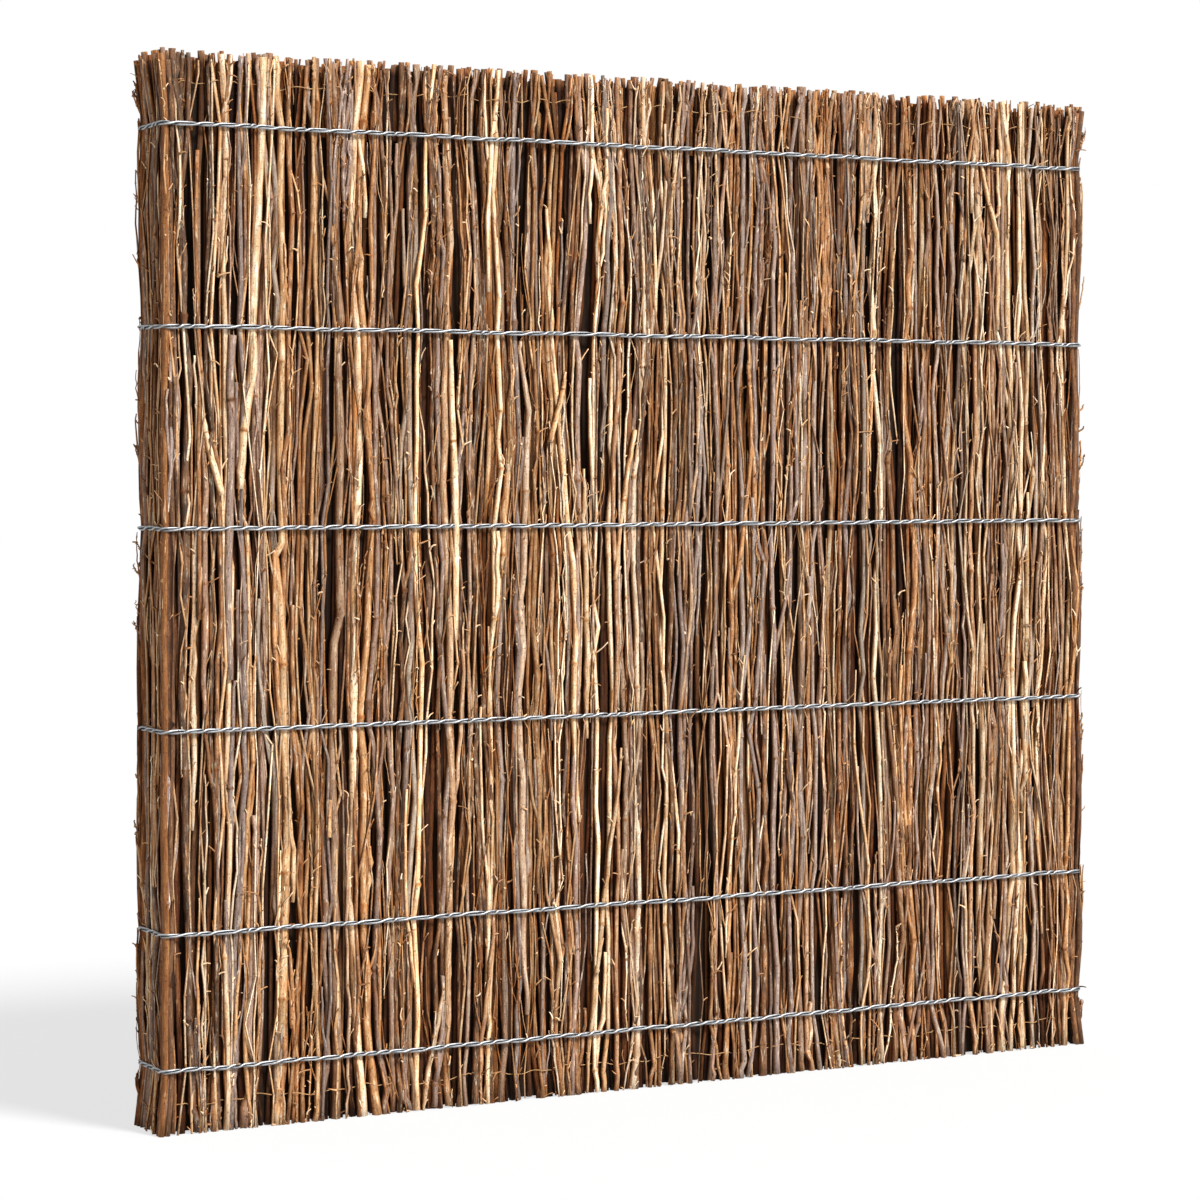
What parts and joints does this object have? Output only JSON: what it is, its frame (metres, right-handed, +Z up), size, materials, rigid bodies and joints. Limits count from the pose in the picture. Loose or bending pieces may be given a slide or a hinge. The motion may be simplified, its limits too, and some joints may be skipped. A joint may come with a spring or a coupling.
{
  "type": "brushwood fence panel",
  "caption": "Free-standing brushwood fence panel: upright sticks packed into a thick mat and bound by level bands of twisted wire.",
  "frame": {"origin": "on the floor, under the middle of the panel's width and depth", "axes": "+Z up along the sticks, +X along the panel to the right as seen from the front, -Y out of the front face"},
  "size_m": [1.8712, 0.128, 1.8],
  "materials": {
    "brushwood": "dry bark, matte",
    "galvanised_wire": "dull galvanised"
  },
  "bodies": {
    "root": {"bundle_01": "brushwood", "bundle_02": "brushwood", "bundle_03": "brushwood", "bundle_04": "brushwood", "bundle_05": "brushwood", "bundle_06": "brushwood", "bundle_07": "brushwood", "bundle_08": "brushwood", "bundle_09": "brushwood", "bundle_10": "brushwood", "bundle_11": "brushwood", "bundle_12": "brushwood", "bundle_13": "brushwood", "bundle_14": "brushwood", "bundle_15": "brushwood", "bundle_16": "brushwood", "bundle_17": "brushwood", "bundle_18": "brushwood", "bundle_19": "brushwood", "bundle_20": "brushwood", "bundle_21": "brushwood", "bundle_22": "brushwood", "bundle_23": "brushwood", "bundle_24": "brushwood", "bundle_25": "brushwood", "bundle_26": "brushwood", "bundle_27": "brushwood", "bundle_28": "brushwood", "bundle_29": "brushwood", "bundle_30": "brushwood", "bundle_31": "brushwood", "bundle_32": "brushwood", "bundle_33": "brushwood", "bundle_34": "brushwood", "bundle_35": "brushwood", "band_1_upper_strand": "galvanised_wire", "band_1_lower_strand": "galvanised_wire", "band_2_upper_strand": "galvanised_wire", "band_2_lower_strand": "galvanised_wire", "band_3_upper_strand": "galvanised_wire", "band_3_lower_strand": "galvanised_wire", "band_4_upper_strand": "galvanised_wire", "band_4_lower_strand": "galvanised_wire", "band_5_upper_strand": "galvanised_wire", "band_5_lower_strand": "galvanised_wire", "band_6_upper_strand": "galvanised_wire", "band_6_lower_strand": "galvanised_wire"}
  },
  "joints": []
}
